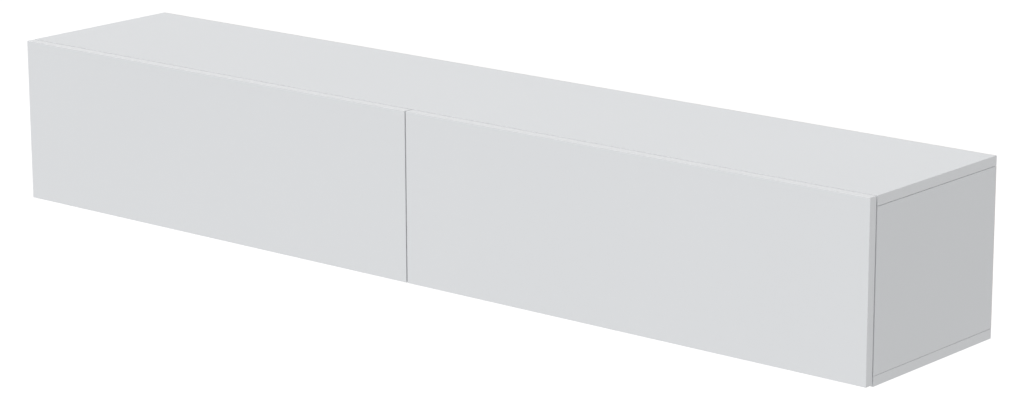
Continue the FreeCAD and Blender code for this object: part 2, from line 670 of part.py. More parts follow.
def stays():
    """Friction stays: base and swivel on an upright, rod and bracket on the door."""
    for name, sign, upright, face_x, inward in stations():
        stay_base(upright, face_x, inward)
        swivel_and_rod(name, face_x, inward)
        door_bracket(SIDE_NAMES[sign], face_x, inward)


def stay_base(upright, face_x, inward):
    """Oval plate screwed to the upright, with the stud that the swivel turns on."""
    out = X_AXIS * inward
    pivot = point(face_x, SWIVEL_Y, SWIVEL_Z)
    plate = rounded_block(
        pivot - Y_AXIS * (STAY_BASE_LENGTH / 2) - Z_AXIS * (STAY_BASE_HEIGHT / 2),
        pivot + Y_AXIS * (STAY_BASE_LENGTH / 2) + Z_AXIS * (STAY_BASE_HEIGHT / 2) + out * STAY_BASE_METAL,
        "x", STAY_BASE_HEIGHT / 2 - SEAT_PLAY,
    )
    stud = cylinder(pivot, out, STUD_RADIUS, STAY_BASE_METAL + STUD_LENGTH)
    holes = []
    for step in PAIR:
        seat = pivot + out * STAY_BASE_METAL + Y_AXIS * (step * STAY_SCREW_SPACING)
        add("carcass_screws", screw(seat, -out, SHORT_SCREW))
        holes.append(screw_hole(seat, -out, SHORT_SCREW))
    add("stay_bases", plate.fuse(stud).cut(holes).removeSplitter())
    cut_from(upright, *holes)


def swivel_and_rod(name, face_x, inward):
    """Round friction block on the stud, and the rod that slides through it from the door's pin."""
    out = X_AXIS * inward
    block_start = point(face_x, SWIVEL_Y, SWIVEL_Z) + out * (STAY_BASE_METAL + SIDE_PLAY)
    rod_shelf = out * (STAY_BASE_METAL + SIDE_PLAY + ROD_SHELF)
    swivel_centre = point(face_x, SWIVEL_Y, SWIVEL_Z) + rod_shelf
    rod_pivot = point(face_x, ROD_PIVOT_Y, ROD_PIVOT_Z) + rod_shelf
    run = (swivel_centre - rod_pivot).normalize()
    body = bevelled_rod(block_start, out, SWIVEL_RADIUS, SWIVEL_WIDTH, SWIVEL_BEVEL)
    bore = cylinder(
        swivel_centre - run * (2 * SWIVEL_RADIUS), run, ROD_RADIUS + ROD_PLAY, 4 * SWIVEL_RADIUS
    )
    stud_seat = cylinder(
        block_start, out, STUD_RADIUS + RUNNING_PLAY, STUD_LENGTH - SIDE_PLAY + RUNNING_PLAY
    )
    add(name + "_stay_swivel", body.cut([bore, stud_seat]))
    stop_at = ROD_OPEN + SWIVEL_RADIUS + SIDE_PLAY
    shaft = cylinder(rod_pivot, run, ROD_RADIUS, stop_at + ROD_STOP_LENGTH)
    stop = bevelled_rod(
        rod_pivot + run * stop_at, run, ROD_STOP_RADIUS, ROD_STOP_LENGTH, ROD_STOP_BEVEL
    )
    eye = cylinder(rod_pivot - out * (EYE_WIDTH / 2), out, EYE_RADIUS, EYE_WIDTH)
    pin_hole = cylinder(
        rod_pivot - out * EYE_WIDTH, out, EYE_PIN_RADIUS + RUNNING_PLAY, 2 * EYE_WIDTH
    )
    add(name + "_stay_rod", shaft.fuse([stop, eye]).cut(pin_hole).removeSplitter())


def door_bracket(side, face_x, inward):
    """Angle bracket on the door's back with the pin that the stay rod turns on."""
    out = X_AXIS * inward
    rod_out = STAY_BASE_METAL + SIDE_PLAY + ROD_SHELF
    ear_out = rod_out + EYE_WIDTH / 2 + SIDE_PLAY
    pivot = point(face_x, ROD_PIVOT_Y, ROD_PIVOT_Z)
    ear_root = point(face_x, DOOR_BACK_Y, ROD_PIVOT_Z) + out * ear_out
    ear = cylinder(pivot + out * ear_out, out, BRACKET_EAR_RADIUS, BRACKET_METAL)
    web = block(
        ear_root - Z_AXIS * BRACKET_EAR_RADIUS,
        pivot + out * (ear_out + BRACKET_METAL) + Z_AXIS * BRACKET_EAR_RADIUS,
    )
    foot = rounded_block(
        ear_root - Z_AXIS * (BRACKET_HEIGHT / 2),
        ear_root + out * BRACKET_FOOT + Y_AXIS * BRACKET_METAL + Z_AXIS * (BRACKET_HEIGHT / 2),
        "y", BRACKET_ROUND,
    )
    pin_start = pivot + out * (rod_out - EYE_WIDTH / 2 - SIDE_PLAY)
    pin = cylinder(pin_start, out, EYE_PIN_RADIUS, EYE_WIDTH + 2 * SIDE_PLAY + BRACKET_METAL)
    holes = []
    for step in PAIR:
        seat = ear_root + out * ((BRACKET_FOOT + BRACKET_METAL) / 2) + Y_AXIS * BRACKET_METAL
        seat = seat + Z_AXIS * (step * BRACKET_SCREW_SPACING)
        add(side + "_door_screws", screw(seat, -Y_AXIS, SHORT_SCREW))
        holes.append(screw_hole(seat, -Y_AXIS, SHORT_SCREW))
    add(side + "_stay_brackets", ear.fuse([web, foot, pin]).cut(holes).removeSplitter())
    cut_from(side + "_door_panel", *holes)


def latches():
    """Push latches under the top panel, each facing a strike plate on its door."""
    for sign, side in SIDE_NAMES.items():
        x = sign * MIDDLE_X
        centre_z = CEILING_Z - LATCH_HEIGHT / 2
        mouth_y = FRONT_Y + LATCH_SETBACK
        tip_y = DOOR_BACK_Y + STRIKE_METAL + PLUNGER_TIP_GAP
        bore_radius = PLUNGER_RADIUS + RUNNING_PLAY
        body = rounded_block(
            (x - LATCH_WIDTH / 2, mouth_y, CEILING_Z - LATCH_HEIGHT),
            (x + LATCH_WIDTH / 2, mouth_y + LATCH_LENGTH, CEILING_Z),
            "y", LATCH_ROUND,
        )
        ears = rounded_block(
            (x - LATCH_EAR_SPAN / 2, mouth_y + LATCH_EAR_SETBACK, CEILING_Z - LATCH_EAR_METAL),
            (x + LATCH_EAR_SPAN / 2, mouth_y + LATCH_EAR_SETBACK + LATCH_EAR_DEPTH, CEILING_Z),
            "z", LATCH_EAR_ROUND,
        )
        bore_length = PLUNGER_ENGAGED + PLUNGER_TRAVEL + SIDE_PLAY
        bore = cylinder(point(x, mouth_y, centre_z), Y_AXIS, bore_radius, bore_length)
        holes = []
        for step in PAIR:
            ear_y = mouth_y + LATCH_EAR_SETBACK + LATCH_EAR_DEPTH / 2
            seat = point(x + step * LATCH_SCREW_SPACING, ear_y, CEILING_Z - LATCH_EAR_METAL)
            add("carcass_screws", screw(seat, Z_AXIS, SHORT_SCREW))
            holes.append(screw_hole(seat, Z_AXIS, SHORT_SCREW))
        add(side + "_latch_housing", body.fuse(ears).cut([bore] + holes).removeSplitter())
        cut_from("top_panel", *holes)
        plunger_length = mouth_y - tip_y + PLUNGER_ENGAGED
        plunger = cylinder(point(x, tip_y, centre_z), Y_AXIS, PLUNGER_RADIUS, plunger_length)
        tip = [e for e in plunger.Edges if e.Closed and abs(e.CenterOfMass.y - tip_y) < RUNNING_PLAY]
        add(side + "_latch_plunger", plunger.makeChamfer(PLUNGER_TIP_CHAMFER, tip))
        strike_plate(side, x, centre_z)


def strike_plate(side, x, z):
    """Steel plate that the plunger meets, screwed to the door's back at both ends."""
    face_y = DOOR_BACK_Y + STRIKE_METAL
    plate = rounded_block(
        (x - STRIKE_WIDTH / 2, DOOR_BACK_Y, z - STRIKE_HEIGHT / 2),
        (x + STRIKE_WIDTH / 2, face_y, z + STRIKE_HEIGHT / 2),
        "y", STRIKE_HEIGHT / 2 - SEAT_PLAY,
    )
    holes = []
    for step in PAIR:
        seat = point(x + step * STRIKE_SCREW_SPACING, face_y, z)
        add(side + "_door_screws", screw(seat, -Y_AXIS, SHORT_SCREW))
        holes.append(screw_hole(seat, -Y_AXIS, SHORT_SCREW))
    add(side + "_strike_plate", plate.cut(holes))
    cut_from(side + "_door_panel", *holes)


def write_parts():
    """Cut every hole and write each node to its own file."""
    os.makedirs("parts", exist_ok=True)
    for name, solids in nodes.items():
        if name in cutters:
            solids = [solid.cut(cutters[name]) for solid in solids]
        shape = solids[0] if len(solids) == 1 else Part.makeCompound(solids)
        shape.exportStep(os.path.join("parts", name + ".step"))


carcass_boards()
back_panels()
board_joints()
wall_rail()
hangers()
doors()
hinges()
stays()
latches()
write_parts()
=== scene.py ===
"""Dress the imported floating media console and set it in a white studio.

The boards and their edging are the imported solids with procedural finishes. The fittings are copies
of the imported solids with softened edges. Screws, tension caps and latch ribs are grown with
Geometry Nodes, and the latch plungers are turned.
"""

from __future__ import annotations

import json
import logging
import math
from collections.abc import Iterable, Sequence
from dataclasses import dataclass, field
from enum import Enum

import bmesh
import bpy
from mathutils import Matrix, Vector

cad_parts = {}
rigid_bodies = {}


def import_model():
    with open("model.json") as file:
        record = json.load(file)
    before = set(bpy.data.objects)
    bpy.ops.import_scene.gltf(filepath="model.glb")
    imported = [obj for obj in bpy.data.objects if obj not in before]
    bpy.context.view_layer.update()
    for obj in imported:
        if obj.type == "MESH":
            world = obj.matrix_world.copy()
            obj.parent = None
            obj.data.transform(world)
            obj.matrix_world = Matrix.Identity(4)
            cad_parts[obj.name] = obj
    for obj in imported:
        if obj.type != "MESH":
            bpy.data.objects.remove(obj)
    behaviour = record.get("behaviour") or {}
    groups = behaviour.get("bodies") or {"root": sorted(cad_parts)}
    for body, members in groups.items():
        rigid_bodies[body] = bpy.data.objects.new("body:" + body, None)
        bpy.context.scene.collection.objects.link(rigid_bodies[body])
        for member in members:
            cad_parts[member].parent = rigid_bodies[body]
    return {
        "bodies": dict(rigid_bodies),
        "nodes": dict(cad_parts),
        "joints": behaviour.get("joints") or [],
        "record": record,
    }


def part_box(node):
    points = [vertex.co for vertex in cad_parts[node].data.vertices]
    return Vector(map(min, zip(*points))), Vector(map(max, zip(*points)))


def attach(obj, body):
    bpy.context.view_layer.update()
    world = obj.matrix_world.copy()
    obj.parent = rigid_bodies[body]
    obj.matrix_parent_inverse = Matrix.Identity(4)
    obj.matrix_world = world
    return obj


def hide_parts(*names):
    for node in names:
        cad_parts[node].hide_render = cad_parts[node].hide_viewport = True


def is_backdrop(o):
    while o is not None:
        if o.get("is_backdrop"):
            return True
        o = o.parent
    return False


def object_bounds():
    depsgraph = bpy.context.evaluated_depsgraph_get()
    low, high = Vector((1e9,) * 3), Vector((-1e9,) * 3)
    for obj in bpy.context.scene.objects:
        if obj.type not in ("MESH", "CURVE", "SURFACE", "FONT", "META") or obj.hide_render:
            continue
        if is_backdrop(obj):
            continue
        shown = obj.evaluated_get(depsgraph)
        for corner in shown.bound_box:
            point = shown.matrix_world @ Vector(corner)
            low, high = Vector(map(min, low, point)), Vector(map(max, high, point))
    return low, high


Triple = tuple[float, float, float]
Colour = Triple
Seed = tuple[Vector, Vector]
Socket = bpy.types.NodeSocket
LOG = logging.getLogger("media_console")
MM = 0.001
WHITE = (1.0, 1.0, 1.0, 1.0)
UNSTRETCHED = (1.0, 1.0, 1.0)
NOISE_LOW = 0.3
NOISE_HIGH = 0.7
WELD_DISTANCE = 0.002 * MM
FLAT_DEGREES = 0.5


class Slot(Enum):
    """The record's material slots."""

    LAMINATE = "white_laminate"
    EDGING = "white_edging"
    HARDBOARD = "white_hardboard"
    NICKEL = "nickel_plated_steel"
    ZINC = "zinc_plated_steel"
    CAST_ZINC = "cast_zinc"
    GREY_PLASTIC = "grey_plastic"
    DARK_PLASTIC = "dark_plastic"
    BEECH = "beech"


class NodeSketch:
    """A node tree under construction."""

    def __init__(self, tree: bpy.types.NodeTree) -> None:
        """Take the tree that the nodes go into.

        Args:
            tree: The node tree.
        """
        self.tree = tree

    def node(
        self, kind: str, inputs: dict[str | int, object] | None = None, **settings: object
    ) -> bpy.types.Node:
        """Add a node.

        Args:
            kind: Blender's name of the node type.
            inputs: Values, sockets or lists of sockets for the node's inputs, by name or number.
            settings: The node's own properties.

        Returns:
            The new node.
        """
        node = self.tree.nodes.new(kind)
        for key, value in settings.items():
            setattr(node, key, value)
        for key, value in (inputs or {}).items():
            for one in value if isinstance(value, list) else [value]:
                self.put(node.inputs[key], one)
        return node

    def put(self, socket: Socket, value: object) -> None:
        """Fill a node's input.

        Args:
            socket: The input.
            value: A socket to link into it, or its own value.
        """
        if isinstance(value, Socket):
            self.tree.links.new(value, socket)
        else:
            socket.default_value = value

    def maths(self, operation: str, first: object, second: object) -> Socket:
        """Combine two numbers, given as sockets or as values."""
        inputs = {0: first, 1: second}
        return self.node("ShaderNodeMath", inputs, operation=operation).outputs["Value"]


class ShaderSketch(NodeSketch):
    """A node material under construction around one Principled shader."""

    def __init__(self, name: str) -> None:
        """Start a material.

        Args:
            name: The material's name.
        """
        self.material = bpy.data.materials.new(name)
        self.material.use_nodes = True
        super().__init__(self.material.node_tree)
        self.surface = self.tree.nodes["Principled BSDF"]
        self.place = self.node("ShaderNodeTexCoord").outputs["Object"]

    def noise(self, scale: float, detail: float = 2.0, stretch: Triple = UNSTRETCHED) -> Socket:
        """Noise on object coordinates.

        Args:
            scale: Features per metre.
            detail: Octaves of finer noise.
            stretch: Factor on each axis before the noise.

        Returns:
            The noise value's socket.
        """
        mapping = self.node("ShaderNodeMapping", {"Vector": self.place, "Scale": stretch})
        inputs = {"Vector": mapping.outputs["Vector"], "Scale": scale, "Detail": detail}
        return self.node("ShaderNodeTexNoise", inputs).outputs["Fac"]

    def span(self, value: Socket, low: float, high: float) -> Socket:
        """Spread a noise value between two numbers.

        Args:
            value: The noise.
            low: The number where the noise is low.
            high: The number where the noise is high.

        Returns:
            The spread value's socket.
        """
        ends = {"From Min": NOISE_LOW, "From Max": NOISE_HIGH, "To Min": low, "To Max": high}
        return self.node("ShaderNodeMapRange", {"Value": value, **ends}).outputs["Result"]

    def around(self, value: Socket, middle: float, spread: float) -> Socket:
        """Spread a noise value evenly to both sides of a number."""
        return self.span(value, middle - spread, middle + spread)

    def blend(self, factor: Socket, first: Socket | Colour, second: Socket | Colour) -> Socket:
        """Mix two colours.

        Args:
            factor: Share of the second colour.
            first: A socket or an RGB colour.
            second: A socket or an RGB colour.

        Returns:
            The mixed colour's socket.
        """
        mix = self.node("ShaderNodeMix", {0: factor}, data_type="RGBA")
        for index, value in ((6, first), (7, second)):
            self.put(mix.inputs[index], value if isinstance(value, Socket) else (*value, 1.0))
        return mix.outputs[2]

    def clouded(self, factor: Socket, colour: Colour, share: float) -> Socket:
        """Let a colour drift to a darker and a lighter one by the same share."""
        return self.blend(factor, shaded(colour, 1 - share), shaded(colour, 1 + share))

    def choose(self, factor: Socket, first: object, second: object) -> Socket:
        """Mix two numbers, given as sockets or as values."""
        inputs = {0: factor, 2: first, 3: second}
        return self.node("ShaderNodeMix", inputs, data_type="FLOAT").outputs[0]

    def beyond(self, axis: str, limit: float) -> Socket:
        """A mask for one end of the piece.

        Args:
            axis: The object coordinate's letter.
            limit: Where the mask starts, in metres.

        Returns:
            A socket that is 1 past the limit.
        """
        split = self.node("ShaderNodeSeparateXYZ", {"Vector": self.place})
        return self.maths("GREATER_THAN", split.outputs[axis], limit)

    def relief(self, height: Socket, depth: float) -> None:
        """Raise the surface's normal with a height pattern.

        Args:
            height: The pattern.
            depth: Its depth in metres.
        """
        bump = self.node("ShaderNodeBump", {"Height": height, "Distance": depth, "Strength": 1.0})
        self.put(self.surface.inputs["Normal"], bump.outputs["Normal"])

    def finish(
        self, colour: Socket | Colour, roughness: Socket | float, metallic: float = 0.0
    ) -> bpy.types.Material:
        """Set the shader's main sockets.

        Args:
            colour: A socket or an RGB colour.
            roughness: A socket or a number.
            metallic: 1 for bare metal.

        Returns:
            The finished material.
        """
        plain = isinstance(colour, tuple)
        self.put(self.surface.inputs["Base Color"], (*colour, 1.0) if plain else colour)
        self.put(self.surface.inputs["Roughness"], roughness)
        self.put(self.surface.inputs["Metallic"], metallic)
        return self.material


def shaded(colour: Colour, factor: float) -> Colour:
    """A colour made lighter or darker."""
    return tuple(min(1.0, channel * factor) for channel in colour)


@dataclass(frozen=True)
class LaminateFinish:
    """White melamine-faced particle board, with raw board on the edges against the wall."""

    name: str = "white_laminate_finish"
    colour: Colour = (0.78, 0.795, 0.812)
    roughness: float = 0.46
    satin_spread: float = 0.04
    pearl_scale: float = 1300.0
    pearl_detail: float = 3.0
    pearl_depth: float = 0.03 * MM
    cloud_scale: float = 2.2
    cloud_share: float = 0.012
    raw_from_y: float = -0.4 * MM
    raw_light: Colour = (0.52, 0.36, 0.2)
    raw_dark: Colour = (0.27, 0.17, 0.09)
    raw_roughness: float = 0.9
    flake_scale: float = 420.0
    flake_detail: float = 4.0
    flake_stretch: Triple = (1.0, 0.35, 1.0)

    def build(self) -> bpy.types.Material:
        """Make the material.

        Returns:
            The finished material.
        """
        sketch = ShaderSketch(self.name)
        face = sketch.clouded(sketch.noise(self.cloud_scale), self.colour, self.cloud_share)
        pearl = sketch.noise(self.pearl_scale, self.pearl_detail)
        satin = sketch.around(pearl, self.roughness, self.satin_spread)
        sketch.relief(pearl, self.pearl_depth)
        flakes = sketch.noise(self.flake_scale, self.flake_detail, self.flake_stretch)
        raw = sketch.blend(sketch.span(flakes, 0.0, 1.0), self.raw_dark, self.raw_light)
        mask = sketch.beyond("Y", self.raw_from_y)
        return sketch.finish(
            sketch.blend(mask, face, raw), sketch.choose(mask, satin, self.raw_roughness)
        )


@dataclass(frozen=True)
class EdgingFinish:
    """White ABS edging, smoother than the laminate, with faint scraper marks along it."""

    name: str = "white_edging_finish"
    colour: Colour = (0.77, 0.784, 0.8)
    roughness: float = 0.24
    satin_spread: float = 0.03
    scrape_scale: float = 260.0
    scrape_stretch: Triple = (0.04, 0.04, 4.0)
    scrape_depth: float = 0.01 * MM
    cloud_scale: float = 6.0
    darkest: float = 0.992
    lightest: float = 1.006

    def build(self) -> bpy.types.Material:
        """Make the material.

        Returns:
            The finished material.
        """
        sketch = ShaderSketch(self.name)
        scrape = sketch.noise(self.scrape_scale, stretch=self.scrape_stretch)
        sketch.relief(scrape, self.scrape_depth)
        colour = sketch.blend(
            sketch.noise(self.cloud_scale),
            shaded(self.colour, self.darkest), shaded(self.colour, self.lightest),
        )
        return sketch.finish(colour, sketch.around(scrape, self.roughness, self.satin_spread))


@dataclass(frozen=True)
class HardboardFinish:
    """Hardboard back: white lacquer inside, brown fibre with a wire pattern on the wall side."""

    name: str = "white_hardboard_finish"
    lacquer: Colour = (0.74, 0.755, 0.765)
    lacquer_roughness: float = 0.4
    raw_from_y: float = -20.7 * MM
    raw_roughness: float = 0.85
    fibre_light: Colour = (0.34, 0.2, 0.1)
    fibre_dark: Colour = (0.2, 0.11, 0.05)
    fibre_scale: float = 180.0
    fibre_detail: float = 5.0
    fibre_stretch: Triple = (0.4, 1.0, 1.0)
    wire_scale: float = 420.0
    wire_depth: float = 0.08 * MM

    def build(self) -> bpy.types.Material:
        """Make the material.

        Returns:
            The finished material.
        """
        sketch = ShaderSketch(self.name)
        mask = sketch.beyond("Y", self.raw_from_y)
        fibres = sketch.noise(self.fibre_scale, self.fibre_detail, self.fibre_stretch)
        raw = sketch.blend(sketch.span(fibres, 0.0, 1.0), self.fibre_dark, self.fibre_light)
        weave = sketch.maths("MULTIPLY", self.wires(sketch, "X"), self.wires(sketch, "Z"))
        sketch.relief(sketch.maths("MULTIPLY", weave, mask), self.wire_depth)
        return sketch.finish(
            sketch.blend(mask, self.lacquer, raw),
            sketch.choose(mask, self.lacquer_roughness, self.raw_roughness),
        )

    def wires(self, sketch: ShaderSketch, axis: str) -> Socket:
        """Raised lines that follow each other along an axis."""
        inputs = {"Vector": sketch.place, "Scale": self.wire_scale}
        return sketch.node("ShaderNodeTexWave", inputs, bands_direction=axis).outputs["Fac"]


@dataclass(frozen=True)
class MetalFinish:
    """Plated or cast metal with faint working marks."""

    name: str
    colour: Colour
    roughness: float
    mark_stretch: Triple = UNSTRETCHED
    mark_scale: float = 300.0
    mark_detail: float = 3.0
    mark_depth: float = 0.01 * MM
    patch_scale: float = 45.0
    patch_share: float = 0.06
    gloss_share: float = 0.3

    def build(self) -> bpy.types.Material:
        """Make the material.

        Returns:
            The finished material.
        """
        sketch = ShaderSketch(self.name)
        marks = sketch.noise(self.mark_scale, self.mark_detail, self.mark_stretch)
        sketch.relief(marks, self.mark_depth)
        colour = sketch.clouded(sketch.noise(self.patch_scale), self.colour, self.patch_share)
        gloss = sketch.around(marks, self.roughness, self.gloss_share * self.roughness)
        return sketch.finish(colour, gloss, metallic=1.0)


@dataclass(frozen=True)
class PlasticFinish:
    """Moulded plastic with a fine spark-eroded grain."""

    name: str
    colour: Colour
    roughness: float = 0.5
    satin_spread: float = 0.06
    grain_scale: float = 2200.0
    grain_depth: float = 0.02 * MM
    flow_scale: float = 60.0
    flow_share: float = 0.05

    def build(self) -> bpy.types.Material:
        """Make the material.

        Returns:
            The finished material.
        """
        sketch = ShaderSketch(self.name)
        grain = sketch.noise(self.grain_scale)
        sketch.relief(grain, self.grain_depth)
        colour = sketch.clouded(sketch.noise(self.flow_scale), self.colour, self.flow_share)
        return sketch.finish(colour, sketch.around(grain, self.roughness, self.satin_spread))


@dataclass(frozen=True)
class BeechFinish:
    """Turned beech with grain along the dowel."""

    name: str = "beech_finish"
    light: Colour = (0.62, 0.43, 0.26)
    dark: Colour = (0.44, 0.27, 0.14)
    roughness: float = 0.6
    grain_scale: float = 900.0
    grain_detail: float = 3.0
    grain_stretch: Triple = (1.0, 1.0, 0.06)
    grain_depth: float = 0.03 * MM

    def build(self) -> bpy.types.Material:
        """Make the material.

        Returns:
            The finished material.
        """
        sketch = ShaderSketch(self.name)
        grain = sketch.noise(self.grain_scale, self.grain_detail, self.grain_stretch)
        sketch.relief(grain, self.grain_depth)
        colour = sketch.blend(sketch.span(grain, 0.0, 1.0), self.dark, self.light)
        return sketch.finish(colour, self.roughness)


class Palette:
    """Every finish of the console, by the record's slot."""

    FINISHES = {
        Slot.LAMINATE: LaminateFinish(),
        Slot.EDGING: EdgingFinish(),
        Slot.HARDBOARD: HardboardFinish(),
        Slot.NICKEL: MetalFinish("nickel_plate_finish", (0.63, 0.6, 0.55), 0.26, (1.0, 0.08, 1.0)),
        Slot.ZINC: MetalFinish("zinc_plate_finish", (0.56, 0.59, 0.63), 0.34, (0.05, 1.0, 1.0)),
        Slot.CAST_ZINC: MetalFinish(
            "cast_zinc_finish", (0.46, 0.47, 0.48), 0.48, mark_scale=1500.0
        ),
        Slot.GREY_PLASTIC: PlasticFinish("grey_plastic_finish", (0.5, 0.51, 0.52)),
        Slot.DARK_PLASTIC: PlasticFinish("dark_plastic_finish", (0.06, 0.06, 0.065), 0.6),
        Slot.BEECH: BeechFinish(),
    }

    def __init__(self) -> None:
        """Build each finish once."""
        self.materials = {slot: finish.build() for slot, finish in self.FINISHES.items()}

    def __getitem__(self, slot: Slot) -> bpy.types.Material:
        """The material of a slot."""
        return self.materials[slot]


class Console:
    """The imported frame: its solids, their bodies and their slots."""

    def __init__(self, frame: dict, palette: Palette) -> None:
        """Keep the frame and index its bodies and slots by node.

        Args:
            frame: What the frame's loader returned.
            palette: The finishes.
        """
        record = frame["record"]
        bodies = record["behaviour"]["bodies"]
        self.palette = palette
        self.nodes: dict[str, bpy.types.Object] = frame["nodes"]
        self.slot_of = {
            entry["node"]: Slot(entry["material_slot"]) for entry in record["subparts"]
        }
        self.body_of = {node: body for body, members in bodies.items() for node in members}

    def nodes_ending(self, *endings: str) -> list[str]:
        """The names of the nodes with one of these endings, in order."""
        return sorted(node for node in self.nodes if node.endswith(endings))

    def finish_of(self, node: str) -> bpy.types.Material:
        """The finish of a node's slot."""
        return self.palette[self.slot_of[node]]

    def dress(self) -> None:
        """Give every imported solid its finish."""
        for node, solid in self.nodes.items():
            solid.data.materials.clear()
            solid.data.materials.append(self.finish_of(node))
            LOG.info("solid %s on %s", node, self.body_of[node])

    def mount(self, piece: bpy.types.Object, body: str, slot: Slot) -> None:
        """Let a piece ride on a body.

        Args:
            piece: The finished piece.
            body: The body it rides on.
            slot: Not used.
        """
        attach(piece, body)
        LOG.info("piece %s on %s", piece.name, body)

    def stand_in(self, piece: bpy.types.Object, node: str) -> None:
        """Let a piece take a node's place.

        Args:
            piece: The finished piece.
            node: The node whose body it takes.
        """
        self.mount(piece, self.body_of[node], self.slot_of[node])
        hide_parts(node)


def new_object(name: str, mesh: bpy.types.Mesh) -> bpy.types.Object:
    """Link a mesh into the scene as an object at the origin.

    Args:
        name: The object's name.
        mesh: Its mesh.

    Returns:
        The new object.
    """
    made = bpy.data.objects.new(name, mesh)
    bpy.context.scene.collection.objects.link(made)
    return made


def box_of(node: str) -> tuple[Vector, Vector]:
    """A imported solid's lowest and highest corner."""
    low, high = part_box(node)
    return Vector(low), Vector(high)


def span_of(corners: Sequence[Vector]) -> tuple[Vector, Vector]:
    """The lowest and highest corner of a box around points."""
    return tuple(Vector(pick(c[i] for c in corners) for i in range(3)) for pick in (min, max))


def settle(piece: bpy.types.Object) -> None:
    """Turn a piece's modifiers into a plain mesh.

    Args:
        piece: The piece.
    """
    bpy.context.view_layer.update()
    evaluated = piece.evaluated_get(bpy.context.evaluated_depsgraph_get())
    mesh = bpy.data.meshes.new_from_object(evaluated)
    piece.modifiers.clear()
    piece.data = mesh


def smooth(mesh: bpy.types.Mesh, sharp_degrees: float = 32.0) -> None:
    """Shade a mesh smooth up to an angle."""
    mesh.shade_smooth()
    mesh.set_sharp_from_angle(angle=math.radians(sharp_degrees))


def merged_copy(source: bpy.types.Object) -> bmesh.types.BMesh:
    """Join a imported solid's loose triangles and make its flat faces whole.

    Args:
        source: The solid's object, which stays as it is.

    Returns:
        The joined copy, to be freed after use.
    """
    work = bmesh.new()
    work.from_mesh(source.data)
    bmesh.ops.remove_doubles(work, verts=work.verts, dist=WELD_DISTANCE)
    bmesh.ops.dissolve_limit(
        work, angle_limit=math.radians(FLAT_DEGREES), verts=work.verts, edges=work.edges,
        use_dissolve_boundaries=False,
    )
    return work


@dataclass
class Fittings:
    """Pressed, turned and moulded fittings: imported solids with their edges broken."""

    console: Console
    fine_break: float = 0.15 * MM
    metal_break: float = 0.3 * MM
    moulded_break: float = 0.7 * MM
    break_segments: int = 2
    sharp_degrees: float = 40.0
    flat_weight: int = 100
    fine_nodes: tuple[str, ...] = (
        "_hinge_cups", "_strike_plate", "cam_locks", "_hinge_pins", "cam_bolts",
    )
    metal_nodes: tuple[str, ...] = (
        "_hinge_arm", "hinge_plates", "stay_bases", "_stay_brackets", "_stay_rod", "wall_rail",
        "hanger_hooks",
    )
    moulded_nodes: tuple[str, ...] = ("_hanger", "_stay_swivel", "_latch_housing")

    def build(self) -> None:
        """Soften every fitting."""
        for endings, width in (
            (self.fine_nodes, self.fine_break),
            (self.metal_nodes, self.metal_break),
            (self.moulded_nodes, self.moulded_break),
        ):
            for node in self.console.nodes_ending(*endings):
                self.soften(node, width)

    def soften(self, node: str, width: float) -> None:
        """Replace a node by a copy whose sharp edges are rounded.

        Args:
            node: The node to copy.
            width: How far the rounding reaches from each edge.
        """
        work = merged_copy(self.console.nodes[node])
        mesh = bpy.data.meshes.new(node + "_soft")
        work.to_mesh(mesh)
        work.free()
        mesh.shade_smooth()
        piece = new_object(node + "_soft", mesh)
        bevel = piece.modifiers.new("broken_edges", "BEVEL")
        bevel.width = width
        bevel.segments = self.break_segments
        bevel.limit_method = "ANGLE"
        bevel.angle_limit = math.radians(self.sharp_degrees)
        flats = piece.modifiers.new("true_flats", "WEIGHTED_NORMAL")
        flats.weight = self.flat_weight
        settle(piece)
        piece.data.materials.clear()
        piece.data.materials.append(self.console.finish_of(node))
        self.console.stand_in(piece, node)


